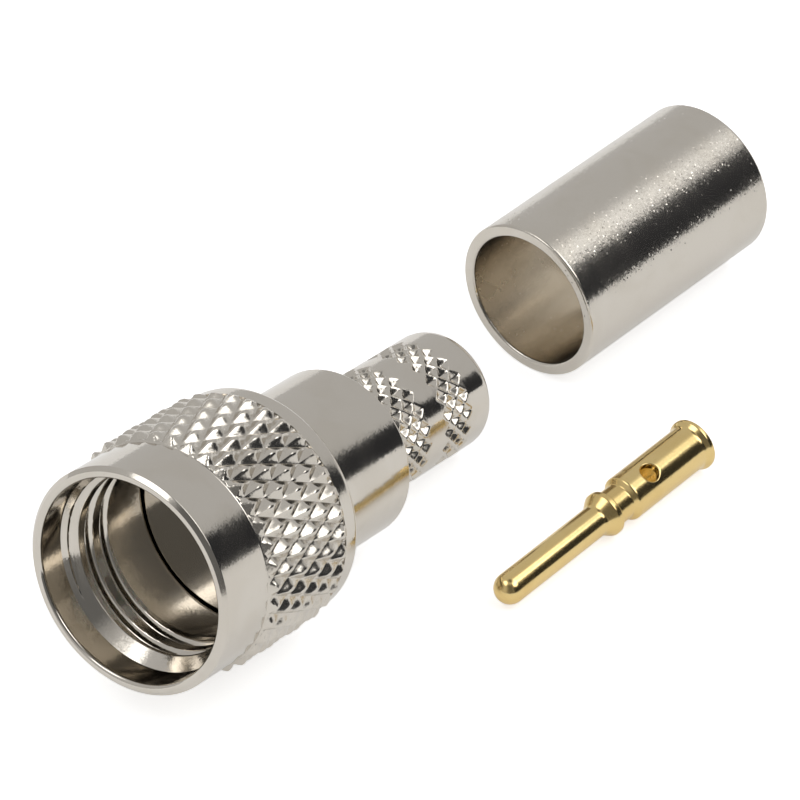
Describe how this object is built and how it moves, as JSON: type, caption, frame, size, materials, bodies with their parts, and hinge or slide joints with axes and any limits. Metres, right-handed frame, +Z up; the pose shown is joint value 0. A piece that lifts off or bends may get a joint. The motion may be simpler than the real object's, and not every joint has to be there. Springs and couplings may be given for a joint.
{
  "type": "mini-uhf crimp connector",
  "caption": "Coaxial crimp plug with a captive diamond-knurled screw nut, shown with its loose crimp ferrule and gold solder contact.",
  "frame": {"origin": "middle of the footprint of the three pieces, on the table they lie on", "axes": "+Z up, +X from the plug's mouth towards its stem, as seen from above, +Y to its left"},
  "size_m": [0.0449, 0.018, 0.0123],
  "materials": {
    "nickel_plate": "bright nickel plate on brass",
    "nickel_satin": "satin nickel plate on copper",
    "gold_plate": "gold plate on brass",
    "fluoropolymer": "white turned fluoropolymer",
    "spring_bronze": "plain spring bronze"
  },
  "bodies": {
    "plug": {"plug_body": "nickel_plate", "insulator": "fluoropolymer", "retaining_ring": "spring_bronze", "crimp_ferrule": "nickel_satin", "center_contact": "gold_plate"},
    "nut": {"coupling_nut": "nickel_plate"}
  },
  "joints": [
    {"name": "nut_spin", "type": "hinge", "parent": "plug", "child": "nut", "pos_m": [-0.01675, 0.00322, 0.00619], "axis": [-0.9843, 0, 0.1763], "continuous": true}
  ]
}
